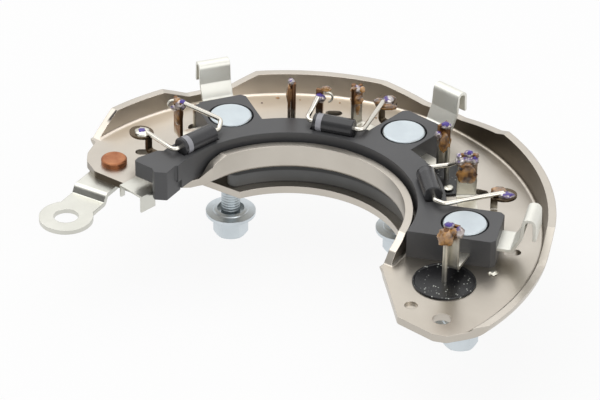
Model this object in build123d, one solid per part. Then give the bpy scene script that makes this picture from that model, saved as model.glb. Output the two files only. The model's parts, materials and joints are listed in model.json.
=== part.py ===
"""Alternator rectifier: two C-shaped heat sinks, a terminal carrier, studs and diodes.

Millimetres. The origin is on the shaft axis, level with the underside of the lower
heat sink. X runs to the right, Y away from the open front, Z up.
"""
import os
from math import atan2, cos, degrees, radians, sin, tan

from build123d import *

# Sheet metal and the heights of the stack.
SHEET = 2.0
GAP_BETWEEN_SINKS = 5.0
LOWER_TOP = SHEET
SPACER_TOP = LOWER_TOP + GAP_BETWEEN_SINKS
FLOOR_TOP = SPACER_TOP + SHEET
INNER_WALL_TOP = FLOOR_TOP + 5.3
OUTER_WALL_TOP = FLOOR_TOP + 6.7
REAR_WALL_TOP = FLOOR_TOP + 5.9
LEFT_WALL_TOP = FLOOR_TOP + 5.2
REAR_DIP = FLOOR_TOP + 3.3
LEFT_DIP = FLOOR_TOP + 2.4
LIP_TOP = FLOOR_TOP + 0.9
CARRIER_HEIGHT = 7.5
CARRIER_TOP = FLOOR_TOP + CARRIER_HEIGHT
CLEAR_ABOVE = CARRIER_TOP + 20.0

# Radii from the shaft axis.
BORE_R = 28.9
FLOOR_OUT_R = 63.5
WALL_LEAN_DEG = 8.0
LOWER_OUT_R = 58.0
CARRIER_IN_R = 32.0
CARRIER_OUT_R = 39.2
PAD_REACH = 8.9

# Bolts: the angle and the radius of each.
BOLTS = {-12.6: 44.5, 48.6: 44.1, 111.2: 43.1}
BOLT_ANGLES = list(BOLTS)
FIRST_BOLT_DEG = BOLT_ANGLES[0]
HOOK_ANGLES = [-13.3, 47.5, 109.8]

# Studs, nuts and the insulating bushes round the studs.
STUD_R = 2.5
STUD_END = -19.0
HEAD_R = 5.5
HEAD_THICK = 2.6
HEAD_GAP = 0.5
HEAD_PROUD = 0.25
NUT_TOP = -12.3
NUT_FLANGE_R = 6.6
NUT_FLANGE_EDGE = 0.9
NUT_COLLAR_R = 4.5
NUT_RECESS_R = 3.6
NUT_FLATS = 8.0
NUT_HEIGHT = 7.3
BUSH_R = 4.0
FIT = 0.02

# Main diodes: a cup drawn in the sheet, a chip, a lead and the sealing resin.
POT_R = 7.85
CUP_DEPTH = 2.6
CUP_SHEET = 1.2
CHIP_R = 2.8
CHIP_THICK = 0.4
LEAD_R = 0.65
LEAD_HEAD_R = 2.2
LEAD_HEAD_THICK = 0.7
SEAL_PROUD = 0.25
LEAD_HOLE_R = 1.9

# Axial diodes between the phase terminals.
BODY_R = 2.4
BODY_LENGTH = 10.8
WIRE_R = 0.62
BODY_HEIGHT = FLOOR_TOP + 8.9

# Strips that carry the leads.
STRIP_THICK = 0.8
STRIP_TOP = FLOOR_TOP + 15.8
STRIP_LEG = FLOOR_TOP + 3.1
EMBED = 1.5
LEAF_LENGTH = 6.6
LEAF_WIDTH = 5.8
LEAF_THICK = 0.6
LEAF_STRIP = 1.8
LEAF_HEIGHT = FLOOR_TOP + 7.4

# Stator hooks.
HOOK_WIDTH = 8.4
HOOK_THICK = 0.8
HOOK_CLEAR = 0.4

# Rivet, lug and edge clip at the left end.
RIVET_XY = (-45.3, 28.2)
RIVET_HEAD_R = 3.35
RIVET_HEAD = 1.5
RIVET_SHANK_R = 2.0
LUG_THICK = 1.2
LUG_WIDTH = 9.7
LUG_RING_R = 6.9
LUG_HOLE_R = 3.15
LUG_REACH = 22.3
LUG_CREST = 10.75
LUG_DROP = 2.0
LUG_DEG = -120.1
CLIP_SHEET = 0.5
CLIP_WIDTH = 8.1
CLIP_DEG = -134.5


def at(radius, angle, z=0.0):
    """The point at a radius and an angle round the shaft axis."""
    return Vector(radius * cos(radians(angle)), radius * sin(radians(angle)), z)


def bolt_spot(angle):
    """The middle of one bolt, seen from above."""
    return at(BOLTS[angle], angle)


def save(shape, name):
    """One file for each piece."""
    export_step(shape, f"parts/{name}.step")


def rod(x, y, radius, z_low, z_high):
    """An upright cylinder."""
    return extrude(Pos(x, y, z_low) * Circle(radius), z_high - z_low)


def slab(points, z_low, z_high, radius=0.0):
    """A flat block with the outline given, its corners rounded."""
    if radius:
        outline = FilletPolyline(points, radius=radius, close=True)
    else:
        outline = Polyline(points, close=True)
    return extrude(Pos(0, 0, z_low) * make_face(outline), z_high - z_low)


def sector(r_in, r_out, a_from, a_to, z_low, z_high):
    """A curved bar between two radii, two angles and two heights."""
    span = a_to - a_from
    outline = [
        CenterArc((0, 0), r_out, a_from, span),
        Line(at(r_out, a_to), at(r_in, a_to)),
        CenterArc((0, 0), r_in, a_from, span),
        Line(at(r_in, a_from), at(r_out, a_from)),
    ]
    return extrude(Pos(0, 0, z_low) * make_face(outline), z_high - z_low)


def turned(points, radii, a_from, a_to):
    """A section drawn in radius and height, swept round the shaft axis."""
    section = make_face(FilletPolyline(points, radius=radii, close=True))
    body = revolve(Plane.XZ * section, Axis.Z, a_to - a_from)
    return Rot(0, 0, a_from) * body


def wall_cut(r_near, r_far, angle, points, radii):
    """A cutter through a wall. Points are degrees from the angle, and heights."""
    outward = Plane(origin=at(r_near, angle), x_dir=at(1, angle + 90), z_dir=at(1, angle))
    reach = (r_near + r_far) / 2
    flat = [(reach * sin(radians(turn)), z) for turn, z in points]
    section = make_face(FilletPolyline(flat, radius=radii, close=True))
    return extrude(outward * section, r_far - r_near)


def wire(points, radius, bend):
    """A round wire along a bent path."""
    path = FilletPolyline(points, radius=bend)
    return sweep(Plane(path @ 0, z_dir=path % 0) * Circle(radius), path)


def bent_strip(path_points, bend, thickness, width, base, angle):
    """A folded strip. The path runs outward from base, at the angle given."""
    path = FilletPolyline(path_points, radius=bend)
    side = Plane(origin=(base[0], base[1], 0), x_dir=at(1, angle), z_dir=at(1, angle - 90))
    return extrude(side * trace(path, thickness), width / 2, both=True)


# Upper heat sink.

def tray_section():
    """Floor, inner wall and leaning outer wall, as radius and height."""
    lean = tan(radians(WALL_LEAN_DEG))
    across = SHEET / cos(radians(WALL_LEAN_DEG))
    rise = OUTER_WALL_TOP - FLOOR_TOP
    return [
        (BORE_R, INNER_WALL_TOP),
        (BORE_R + SHEET, INNER_WALL_TOP),
        (BORE_R + SHEET, FLOOR_TOP),
        (FLOOR_OUT_R, FLOOR_TOP),
        (FLOOR_OUT_R + rise * lean, OUTER_WALL_TOP),
        (FLOOR_OUT_R + rise * lean + across, OUTER_WALL_TOP),
        (FLOOR_OUT_R + across - SHEET * lean, SPACER_TOP),
        (BORE_R, SPACER_TOP),
    ]


def outer_wall_cuts():
    """The dips in the outer wall where the stator hooks cross, and its two ends."""
    top = CLEAR_ABOVE
    high = OUTER_WALL_TOP + 1
    near = FLOOR_OUT_R - 4.5
    far = FLOOR_OUT_R + 9
    left_points = [(-16, high), (-5.5, LEFT_DIP), (4.5, LEFT_DIP), (16, high)]
    left = wall_cut(near, far, 110.5, left_points, [0, 2.0, 2.0, 0])
    rear_points = [(-18.5, high), (-13.5, FLOOR_TOP + 5.5), (-2, REAR_DIP), (9, REAR_DIP), (28, high)]
    rear = wall_cut(near, far, 48.0, rear_points, [0, 2.0, 3.0, 3.0, 0])
    right_points = [(6.5, high), (-1.5, LIP_TOP), (-20, LIP_TOP), (-20, top), (6.5, top)]
    right = wall_cut(near, far, -14.0, right_points, [0, 3.0, 0, 0, 0])
    end_points = [(-8.3, high), (1.8, FLOOR_TOP), (30, FLOOR_TOP), (30, top), (-8.3, top)]
    left_end = wall_cut(near, far, 140.0, end_points, 0)
    lip = sector(near, far + 3, -60, -18, LIP_TOP, top)
    rear_top = sector(near, far + 3, 52, 108, REAR_WALL_TOP, top)
    left_top = sector(near, far + 3, 107, 150, LEFT_WALL_TOP, top)
    return left + rear + right + left_end + lip + rear_top + left_top


def inner_wall_cuts():
    """The ends of the inner wall fall in a ramp to the floor."""
    top = CLEAR_ABOVE
    near = BORE_R - 4
    far = BORE_R + SHEET + 1.5
    left = [
        (-14, INNER_WALL_TOP + 1), (-8.5, INNER_WALL_TOP - 0.3), (-2.5, INNER_WALL_TOP - 1.4),
        (4.6, FLOOR_TOP), (40, FLOOR_TOP), (40, top), (-14, top),
    ]
    right = [
        (18, INNER_WALL_TOP + 1), (11, INNER_WALL_TOP - 1.1), (4, INNER_WALL_TOP - 2.4),
        (-0.8, FLOOR_TOP), (-40, FLOOR_TOP), (-40, top), (18, top),
    ]
    left_cut = wall_cut(near, far, 134.0, left, [0, 3.0, 3.0, 0.5, 0, 0, 0])
    return left_cut + wall_cut(near, far, -35.0, right, [0, 2.5, 1.2, 0.5, 0, 0, 0])


def tray_end_cuts():
    """What is trimmed from the sheet at its left and right ends, seen from above."""
    right = [
        (12, -13), (22.9, -18.6), (24.5, -28.0), (26.4, -39.8), (34.8, -47.0), (38.0, -47.8),
        (49.6, -43.9), (51.5, -40.6), (60, -60), (60, -80), (0, -80), (0, -13),
    ]
    left = [
        (-14, 15), (-19.7, 21.3), (-23.2, 20.8), (-25.4, 19.8), (-29.0, 19.6), (-36.0, 13.8),
        (-50.0, 23.9), (-52.4, 29.0), (-52.4, 32.8), (-50.6, 38.4), (-53.4, 41.0),
        (-80, 44), (-80, -20), (0, -20), (0, 10),
    ]
    right_radii = [0, 1.0, 6.0, 1.5, 2.0, 1.5, 0.8, 0, 0, 0, 0, 0]
    left_radii = [0, 0.5, 0.5, 0.5, 1.5, 1.5, 2.0, 2.0, 2.0, 1.0, 0, 0, 0, 0, 0]
    low = -1
    return slab(right, low, CLEAR_ABOVE, right_radii) + slab(left, low, CLEAR_ABOVE, left_radii)


def oval_hole(x, y, length, width, turn):
    """An oval through the upper sheet."""
    shape = SlotOverall(length, width)
    return extrude(Pos(x, y, SPACER_TOP - 1) * Rot(0, 0, turn) * shape, SHEET + 2)


TRAY_SLOTS = [(55.3, -11.3, 5), (48.4, 16.4, -20), (11.3, 54.3, 0), (-37.9, 33.6, 0)]
SLOT_LENGTH = 4.4
SLOT_WIDTH = 2.6
END_HOLE = (37.1, -40.5, 2.25)
DIMPLES = [(29.8, -34.8, 1.6), (50.2, -20.9, 1.1)]
DIMPLE_DEPTH = 0.7
POSITIVE = [(38.1, -24.7), (40.0, 22.2), (0.6, 42.9)]
NEGATIVE = [(44.5, 10.4), (16.2, 44.3), (-25.0, 46.2)]
LOWER_LEAD_TOPS = [STRIP_TOP, STRIP_TOP - 1.0, FLOOR_TOP + 6.6]


def cup_outside(x, y, top):
    """The drawn cup that hangs below a sheet round a main diode."""
    return rod(x, y, POT_R + CUP_SHEET, top - SHEET - CUP_DEPTH, top)


def cup_inside(x, y, top):
    """The room for the diode in its cup."""
    return rod(x, y, POT_R, top - SHEET - CUP_DEPTH + CUP_SHEET, top + 1)


def upper_heat_sink():
    """The stamped tray."""
    radii = [0, 0, 0.9, 0.9, 0, 0, 2.4, 2.4]
    body = turned(tray_section(), radii, -60, 165)
    body -= outer_wall_cuts() + inner_wall_cuts() + tray_end_cuts()
    for x, y in POSITIVE:
        body += cup_outside(x, y, FLOOR_TOP)
    for x, y in POSITIVE:
        body -= cup_inside(x, y, FLOOR_TOP)
    for angle in BOLT_ANGLES:
        spot = bolt_spot(angle)
        body -= rod(spot.X, spot.Y, BUSH_R + FIT, 0, FLOOR_TOP + 1)
    for x, y in NEGATIVE:
        body -= rod(x, y, LEAD_HOLE_R, SPACER_TOP - 1, FLOOR_TOP + 1)
    for x, y, turn in TRAY_SLOTS:
        body -= oval_hole(x, y, SLOT_LENGTH, SLOT_WIDTH, turn)
    body -= rod(END_HOLE[0], END_HOLE[1], END_HOLE[2], 0, FLOOR_TOP + 1)
    for x, y, radius in DIMPLES:
        body -= rod(x, y, radius, FLOOR_TOP - DIMPLE_DEPTH, FLOOR_TOP + 1)
    body -= rod(RIVET_XY[0], RIVET_XY[1], RIVET_SHANK_R, 0, FLOOR_TOP + 1)
    for angle in HOOK_ANGLES:
        body -= stator_hook(angle, HOOK_CLEAR)
    return body


# Lower heat sink and the moulding between the sheets.

def lower_heat_sink():
    """The plain plate under the spacer."""
    body = sector(BORE_R, LOWER_OUT_R, -26, 150, 0, LOWER_TOP)
    left_end = [(-12.1, 25.4), (-21.0, 31.0), (-52.8, 51.1), (-80, 40), (-40, -10), (0, 10)]
    body -= slab(left_end, -1, LOWER_TOP + 1)
    for x, y in NEGATIVE:
        body += cup_outside(x, y, LOWER_TOP)
    for x, y in NEGATIVE:
        body -= cup_inside(x, y, LOWER_TOP)
    for angle in BOLT_ANGLES:
        spot = bolt_spot(angle)
        body -= rod(spot.X, spot.Y, STUD_R + FIT, -CUP_DEPTH - 1, LOWER_TOP + 1)
    return body


SPACER_OUT_R = 35.6
SPACER_WIDTH = 4.2
SPACER_IN_R = SPACER_OUT_R - SPACER_WIDTH
SPACER_BOSS_R = 6.0
SPACER_END_DEG = 115.0
SEAL_ROOM = 0.3


def insulating_spacer():
    """The moulding that holds the two sheets apart: a curved bar with three bosses."""
    bar = sector(SPACER_IN_R, SPACER_OUT_R, -25, SPACER_END_DEG, LOWER_TOP, SPACER_TOP)
    end = at((SPACER_IN_R + SPACER_OUT_R) / 2, SPACER_END_DEG)
    bar += rod(end.X, end.Y, SPACER_WIDTH / 2, LOWER_TOP, SPACER_TOP)
    for angle in BOLT_ANGLES:
        spot = bolt_spot(angle)
        bar += rod(spot.X, spot.Y, SPACER_BOSS_R, LOWER_TOP, SPACER_TOP)
        bar += sector(SPACER_OUT_R - 1, BOLTS[angle], angle - 5, angle + 5, LOWER_TOP, SPACER_TOP)
    for angle in BOLT_ANGLES:
        spot = bolt_spot(angle)
        bar -= rod(spot.X, spot.Y, STUD_R + FIT, 0, SPACER_TOP + 1)
    for x, y in POSITIVE:
        bar -= rod(x, y, POT_R + CUP_SHEET + SEAL_ROOM, 0, SPACER_TOP + 1)
    for x, y in NEGATIVE:
        bar -= rod(x, y, LEAD_HOLE_R, 0, SPACER_TOP + 1)
        bar -= rod(x, y, POT_R + SEAL_ROOM, 0, LOWER_TOP + SEAL_PROUD + SEAL_ROOM)
    return bar


# Terminal carrier.

PAD_HALF = 7.0
PAD_CORNER = 1.1
SKIRT = 2.4
LEFT_BLOCK_BASE = FLOOR_TOP + 3.1
STRIP_BASE = FLOOR_TOP + 2.6


def pad(angle):
    """The block round one stud, from the inner edge out."""
    half = PAD_HALF
    out = BOLTS[angle] + PAD_REACH
    near = CARRIER_IN_R - 2
    short = out - PAD_CORNER
    side = half - PAD_CORNER
    outline = [(near, -half), (short, -half), (out, -side), (out, side), (short, half), (near, half)]
    block = Rot(0, 0, angle) * slab(outline, FLOOR_TOP, CARRIER_TOP, 0.6)
    return block - rod(0, 0, CARRIER_IN_R, FLOOR_TOP - 1, CARRIER_TOP + 1)


def carrier_left_end():
    """The wider block at the left end, clear of the tray floor."""
    outline = [(-33.8, 22.3), (-38.6, 18.8), (-39.4, 17.2), (-32.9, 12.2), (-28, 15.6), (-27, 22)]
    return slab(outline, LEFT_BLOCK_BASE, CARRIER_TOP, 0.5)


def carrier_leg():
    """The leg that drops in front of the tray edge at the left end."""
    outline = [(-27.6, 17.3), (-29.8, 18.2), (-34.8, 13.6), (-34.2, 11.9), (-31.0, 11.6)]
    return slab(outline, FLOOR_TOP - 0.7, CARRIER_TOP, 0.5)


def diode_seat(radius, angle):
    """The trough that an axial diode lies in."""
    spot = at(radius, angle, BODY_HEIGHT)
    along = Plane(origin=spot, x_dir=(0, 0, 1), z_dir=at(1, angle + 90))
    return extrude(along * Circle(BODY_R + 0.1), BODY_LENGTH / 2 + 0.6, both=True)


# The radius and the angle of each axial diode.
SEATS = [(35.5, 9.5), (35.5, 71.6), (35.0, 133.2)]


def terminal_carrier():
    """The black moulding that holds the terminals and the axial diodes."""
    body = sector(CARRIER_IN_R, CARRIER_OUT_R, FIRST_BOLT_DEG, 152, STRIP_BASE, CARRIER_TOP)
    body += sector(CARRIER_IN_R, CARRIER_IN_R + SKIRT, FIRST_BOLT_DEG, 149, FLOOR_TOP, CARRIER_TOP)
    for angle in BOLT_ANGLES:
        body += pad(angle)
    body += carrier_left_end() + carrier_leg()
    for angle in BOLT_ANGLES:
        spot = bolt_spot(angle)
        seat = CARRIER_TOP + HEAD_PROUD - HEAD_THICK
        body -= rod(spot.X, spot.Y, HEAD_R + HEAD_GAP, seat, CARRIER_TOP + 1)
        body -= rod(spot.X, spot.Y, STUD_R + FIT, 0, CARRIER_TOP)
    for angle in HOOK_ANGLES:
        body -= stator_hook(angle)
    for radius, angle in SEATS:
        body -= diode_seat(radius, angle)
    for shape in terminals().values():
        body -= shape
    for x, y in POSITIVE + NEGATIVE:
        body -= rod(x, y, LEAD_R + 0.4, 0, CARRIER_TOP + 1)
    return body


# Fixings.

def mounting_stud(angle):
    """A disc-headed stud through the whole stack."""
    spot = bolt_spot(angle)
    head_base = CARRIER_TOP + HEAD_PROUD - HEAD_THICK
    head = rod(spot.X, spot.Y, HEAD_R, head_base, head_base + HEAD_THICK)
    head = chamfer(head.edges().group_by(Axis.Z)[-1], 0.3)
    shank = rod(spot.X, spot.Y, STUD_R, STUD_END, head_base)
    shank = chamfer(shank.edges().group_by(Axis.Z)[0], 0.5)
    return head + shank


def flange_nut(angle):
    """A hexagon nut with a flange on top, run part way up the stud."""
    spot = bolt_spot(angle)
    across_corners = NUT_FLATS / 2 / cos(radians(30))
    hexagon = RegularPolygon(across_corners, 6)
    hexagon_top = NUT_TOP - NUT_FLANGE_EDGE
    body = extrude(Pos(0, 0, NUT_TOP - NUT_HEIGHT) * hexagon, NUT_HEIGHT - NUT_FLANGE_EDGE)
    cone_top = NUT_TOP - NUT_FLANGE_EDGE - 0.3
    cone_foot = cone_top - (NUT_FLANGE_R - across_corners) * 0.55
    half = [
        (0, hexagon_top),
        (NUT_RECESS_R, hexagon_top),
        (NUT_RECESS_R, NUT_TOP + 0.4),
        (NUT_COLLAR_R, NUT_TOP + 0.2),
        (NUT_COLLAR_R + 0.2, NUT_TOP - 0.1),
        (NUT_FLANGE_R, NUT_TOP - 0.3),
        (NUT_FLANGE_R, cone_top),
        (across_corners, cone_foot),
        (0, cone_foot),
    ]
    body += revolve(Plane.XZ * make_face(Polyline(half, close=True)), Axis.Z)
    end_cone = [(across_corners - 1.0, 0), (across_corners + 1, 0), (across_corners + 1, 1.2)]
    trim = revolve(Plane.XZ * make_face(Polyline(end_cone, close=True)), Axis.Z)
    body -= Pos(0, 0, NUT_TOP - NUT_HEIGHT) * trim
    body -= rod(0, 0, STUD_R + FIT, NUT_TOP - NUT_HEIGHT - 1, NUT_TOP + 1)
    return Pos(spot.X, spot.Y, 0) * body


def insulating_bush(angle):
    """The ring that keeps a stud away from the upper sheet."""
    spot = bolt_spot(angle)
    ring = rod(spot.X, spot.Y, BUSH_R, SPACER_TOP, FLOOR_TOP)
    return ring - rod(spot.X, spot.Y, STUD_R + FIT, SPACER_TOP - 1, FLOOR_TOP + 1)


# Main diodes.

def chip(x, y, top):
    """The silicon chip on the cup's floor."""
    base = top - SHEET - CUP_DEPTH + CUP_SHEET
    return rod(x, y, CHIP_R, base, base + CHIP_THICK)


def lead(x, y, top, z_end):
    """The headed lead on the chip."""
    base = top - SHEET - CUP_DEPTH + CUP_SHEET + CHIP_THICK
    return rod(x, y, LEAD_HEAD_R, base, base + LEAD_HEAD_THICK) + rod(x, y, LEAD_R, base, z_end)


def seal(x, y, top):
    """The resin that fills the cup."""
    base = top - SHEET - CUP_DEPTH + CUP_SHEET
    fill = rod(x, y, POT_R, base, top + SEAL_PROUD)
    return fill - chip(x, y, top) - lead(x, y, top, top + 5)


# Axial diodes.

def axial_diode(radius, angle, ccw_path, cw_path):
    """A small diode across the carrier, with a bent lead at each end."""
    spot = at(radius, angle, BODY_HEIGHT)
    along = at(1, angle + 90)
    axis = Plane(origin=spot, x_dir=(0, 0, 1), z_dir=along)
    body = extrude(axis * Circle(BODY_R), BODY_LENGTH / 2, both=True)
    body = chamfer(body.edges().filter_by(GeomType.CIRCLE), 0.25)
    for sign, path in ((1, ccw_path), (-1, cw_path)):
        start = spot + along * (sign * (BODY_LENGTH / 2 - 1))
        knee = spot + along * (sign * (BODY_LENGTH / 2 + 2.2))
        body += wire([start, knee] + [Vector(*point) for point in path], WIRE_R, 1.2)
    return body


# Where each axial diode's leads go after they leave its ends.
LEAD_PATHS = [
    ([(40.2, 14.0, 18.6), (43.0, 10.7, 21.8)], [(38.4, -3.2, 17.9), (53.4, 3.1, 17.3)]),
    ([(4.6, 37.2, 18.6), (7.0, 40.2, 22.4)], [(19.4, 33.6, 17.8), (24.0, 46.6, 17.3)]),
    ([(-31.4, 22.6, 17.9), (-36.6, 29.6, 17.3)], [(-17.8, 33.4, 19.2), (-27.6, 34.9, 23.2)]),
]


# Terminals.

def riser(start, end, width, top):
    """A strip that leaves the carrier level, then stands up."""
    run = Vector(*end) - Vector(*start)
    angle = degrees(atan2(run.Y, run.X))
    path = [(-EMBED, STRIP_LEG), (run.length, STRIP_LEG), (run.length, top)]
    return bent_strip(path, 1.0, STRIP_THICK, width, start, angle)


def leaf_terminal(start, foot, angle):
    """A small strip that stands up from the carrier's side and ends in a flat leaf."""
    strip = riser(start, foot, LEAF_STRIP, LEAF_HEIGHT)
    spot = Vector(*foot) + at(LEAF_LENGTH / 2 - 0.9, angle)
    place = Pos(spot.X, spot.Y, LEAF_HEIGHT - LEAF_THICK / 2) * Rot(0, 0, angle)
    return strip + extrude(place * Ellipse(LEAF_LENGTH / 2, LEAF_WIDTH / 2), LEAF_THICK)


def terminals():
    """Every terminal strip by name."""
    return {
        "terminal_front": riser((43.2, -15.9), (39.9, -23.2), 3.3, STRIP_TOP),
        "terminal_right": riser((44.9, -3.4), (44.5, 9.3), 5.0, STRIP_TOP),
        "terminal_right_rear": riser((34.3, 27.6), (38.7, 23.2), 3.3, STRIP_TOP + 0.4),
        "terminal_rear_right": riser((24.0, 38.2), (17.1, 43.6), 3.7, STRIP_TOP - 1.2),
        "terminal_rear": riser((-8.6, 42.8), (-0.5, 42.9), 3.3, STRIP_TOP - 1.0),
        "terminal_left": riser((-22.1, 39.2), (-29.0, 36.0), 4.2, STRIP_TOP - 1.3),
        "terminal_rear_middle": riser((6.1, 37.4), (7.4, 41.4), 1.8, STRIP_TOP - 0.8),
        "leaf_terminal_right": leaf_terminal((51.0, -4.8), (51.2, 3.3), 4.0),
        "leaf_terminal_rear": leaf_terminal((28.2, 42.4), (23.7, 45.9), 63.0),
        "leaf_terminal_left": leaf_terminal((-29.9, 24.2), (-36.4, 29.5), 141.0),
    }


def stator_hook(angle, room=0.0):
    """The hooked strip that takes a stator lead over the outer wall, with room round it."""
    foot = FLOOR_TOP + 4.2
    path = [
        (49.2, foot),
        (57.2, foot),
        (59.3, FLOOR_TOP + 8.2),
        (59.8, FLOOR_TOP + 13.5),
        (62.4, FLOOR_TOP + 13.5),
        (62.6, FLOOR_TOP + 8.0),
    ]
    return bent_strip(path, 1.2, HOOK_THICK + 2 * room, HOOK_WIDTH + 2 * room, (0, 0), angle)


# Left end.

def copper_rivet():
    """The rivet through the tray and the lug."""
    x, y = RIVET_XY
    under = SPACER_TOP - LUG_THICK
    head = rod(x, y, RIVET_HEAD_R, FLOOR_TOP, FLOOR_TOP + RIVET_HEAD)
    head = chamfer(head.edges().group_by(Axis.Z)[-1], 0.35)
    foot = rod(x, y, RIVET_HEAD_R - 0.3, under - 1.0, under)
    return head + rod(x, y, RIVET_SHANK_R, under, FLOOR_TOP) + foot


def terminal_lug():
    """The cranked lug under the tray, with its ring for the output cable."""
    under = SPACER_TOP - LUG_THICK / 2
    lower = under - LUG_DROP
    path = [(-5.5, under), (LUG_CREST, under), (LUG_CREST + 1.2, lower), (LUG_REACH, lower)]
    strap = bent_strip(path, 0.9, LUG_THICK, LUG_WIDTH, RIVET_XY, LUG_DEG)
    ring = Vector(*RIVET_XY) + at(LUG_REACH, LUG_DEG)
    low = lower - LUG_THICK / 2
    strap += rod(ring.X, ring.Y, LUG_RING_R, low, low + LUG_THICK)
    strap -= rod(ring.X, ring.Y, LUG_HOLE_R, low - 1, low + LUG_THICK + 1)
    return strap - rod(RIVET_XY[0], RIVET_XY[1], RIVET_SHANK_R, 0, SPACER_TOP + 1)


def edge_clip():
    """The thin saddle over the tray edge at the left end."""
    half = CLIP_WIDTH / 2
    inside = -3.4
    outside = 2.9
    middle = (inside + outside) / 2
    top = FLOOR_TOP + CLIP_SHEET
    saddle = extrude(Pos(middle, 0, FLOOR_TOP) * Rectangle(outside - inside, CLIP_WIDTH), CLIP_SHEET)
    for side, start, drop in ((-1, 1.6, 3.4), (1, -1.9, 4.7)):
        spot = Pos((start + outside) / 2, side * (half - CLIP_SHEET / 2), top - drop)
        saddle += extrude(spot * Rectangle(outside - start, CLIP_SHEET), drop)
    return Pos(-38.35, 16.0, 0) * Rot(0, 0, CLIP_DEG) * saddle


def main():
    os.makedirs("parts", exist_ok=True)
    save(upper_heat_sink(), "upper_heat_sink")
    save(lower_heat_sink(), "lower_heat_sink")
    save(insulating_spacer(), "insulating_spacer")
    save(terminal_carrier(), "terminal_carrier")
    for number, angle in enumerate(BOLT_ANGLES, 1):
        save(mounting_stud(angle), f"mounting_stud_{number}")
        save(flange_nut(angle), f"flange_nut_{number}")
        save(insulating_bush(angle), f"insulating_bush_{number}")
    for number, angle in enumerate(HOOK_ANGLES, 1):
        save(stator_hook(angle), f"stator_hook_{number}")
    for number, (x, y) in enumerate(POSITIVE, 1):
        save(chip(x, y, FLOOR_TOP), f"upper_chip_{number}")
        save(lead(x, y, FLOOR_TOP, STRIP_TOP), f"upper_lead_{number}")
        save(seal(x, y, FLOOR_TOP), f"upper_seal_{number}")
    for number, (x, y) in enumerate(NEGATIVE, 1):
        save(chip(x, y, LOWER_TOP), f"lower_chip_{number}")
        save(lead(x, y, LOWER_TOP, LOWER_LEAD_TOPS[number - 1]), f"lower_lead_{number}")
        save(seal(x, y, LOWER_TOP), f"lower_seal_{number}")
    for number, (radius, angle) in enumerate(SEATS, 1):
        ccw_path, cw_path = LEAD_PATHS[number - 1]
        save(axial_diode(radius, angle, ccw_path, cw_path), f"axial_diode_{number}")
    save(copper_rivet(), "copper_rivet")
    save(terminal_lug(), "terminal_lug")
    save(edge_clip(), "edge_clip")
    for name, shape in terminals().items():
        save(shape, name)


main()
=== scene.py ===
# %% [markdown]
# # An alternator rectifier, dressed for the camera
# The frame brings in every solid of the rectifier at its true size, in metres.
# This file gives each one its finish and adds what is too fine for the solids:
# threads, solder, flux and the marks that use leaves behind.

# %% Start from the frame
import json
import math

import bmesh
import bpy
from mathutils import Matrix, Vector, noise

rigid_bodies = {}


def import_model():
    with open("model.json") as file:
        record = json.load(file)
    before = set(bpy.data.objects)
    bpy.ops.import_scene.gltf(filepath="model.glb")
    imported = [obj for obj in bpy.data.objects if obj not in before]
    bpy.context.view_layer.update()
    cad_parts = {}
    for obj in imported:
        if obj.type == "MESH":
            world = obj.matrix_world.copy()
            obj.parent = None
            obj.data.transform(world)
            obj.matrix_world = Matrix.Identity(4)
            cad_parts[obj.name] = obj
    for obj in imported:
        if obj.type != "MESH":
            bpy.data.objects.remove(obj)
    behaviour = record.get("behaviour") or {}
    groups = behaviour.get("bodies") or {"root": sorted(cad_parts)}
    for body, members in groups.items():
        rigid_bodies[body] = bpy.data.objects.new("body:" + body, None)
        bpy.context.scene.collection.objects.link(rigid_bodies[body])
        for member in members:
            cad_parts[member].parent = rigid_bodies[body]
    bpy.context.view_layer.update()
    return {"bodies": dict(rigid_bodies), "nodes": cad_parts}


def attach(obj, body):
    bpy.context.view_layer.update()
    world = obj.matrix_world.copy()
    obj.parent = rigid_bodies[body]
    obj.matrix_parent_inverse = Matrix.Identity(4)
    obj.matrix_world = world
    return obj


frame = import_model()
nodes = frame["nodes"]
BODY = sorted(frame["bodies"])[0]
MM = 0.001
print("solids:", len(nodes), "body:", BODY)

# %% [markdown]
# ## Small helpers for shader nodes
# A material is a little network. These helpers keep each network short enough to
# read: they make a node, fill its inputs with numbers or sockets, and hand back
# the socket that the next step needs.

# %% Node helpers


def add(tree, kind, **inputs):
    """Makes a node and fills the inputs that are named."""
    node = tree.nodes.new(kind)
    for name, value in inputs.items():
        node.inputs[name.replace("_", " ")].default_value = value
    return node


def join(tree, source, target):
    """Joins an output socket to an input socket."""
    tree.links.new(source, target)


def fill(tree, target, value):
    """Gives an input a socket, a number, or three numbers."""
    if isinstance(value, (int, float, tuple, Vector)):
        target.default_value = value
    else:
        join(tree, value, target)


def math_node(tree, operation, first, second=0.0):
    """One step of arithmetic. An input is a socket or a number."""
    node = add(tree, "ShaderNodeMath")
    node.operation = operation
    fill(tree, node.inputs[0], first)
    fill(tree, node.inputs[1], second)
    return node.outputs["Value"]


def vector_node(tree, operation, first, second=(0.0, 0.0, 0.0)):
    """One step of vector arithmetic, as a node with both kinds of output."""
    node = add(tree, "ShaderNodeVectorMath")
    node.operation = operation
    fill(tree, node.inputs[0], first)
    fill(tree, node.inputs[1], second)
    return node


def product(tree, *factors):
    """Several masks multiplied together."""
    result = factors[0]
    for factor in factors[1:]:
        result = math_node(tree, "MULTIPLY", result, factor)
    return result


def ramp(tree, value, low, high, start=0.0, end=1.0, shape="SMOOTHSTEP"):
    """Maps low..high to start..end, clamped."""
    node = add(tree, "ShaderNodeMapRange")
    node.interpolation_type = shape
    node.inputs["From Min"].default_value = low
    node.inputs["From Max"].default_value = high
    node.inputs["To Min"].default_value = start
    node.inputs["To Max"].default_value = end
    join(tree, value, node.inputs["Value"])
    return node.outputs["Result"]


def linear(tree, value, low, high, start=0.0, end=1.0):
    """The same with straight sides."""
    return ramp(tree, value, low, high, start, end, "LINEAR")


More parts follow.
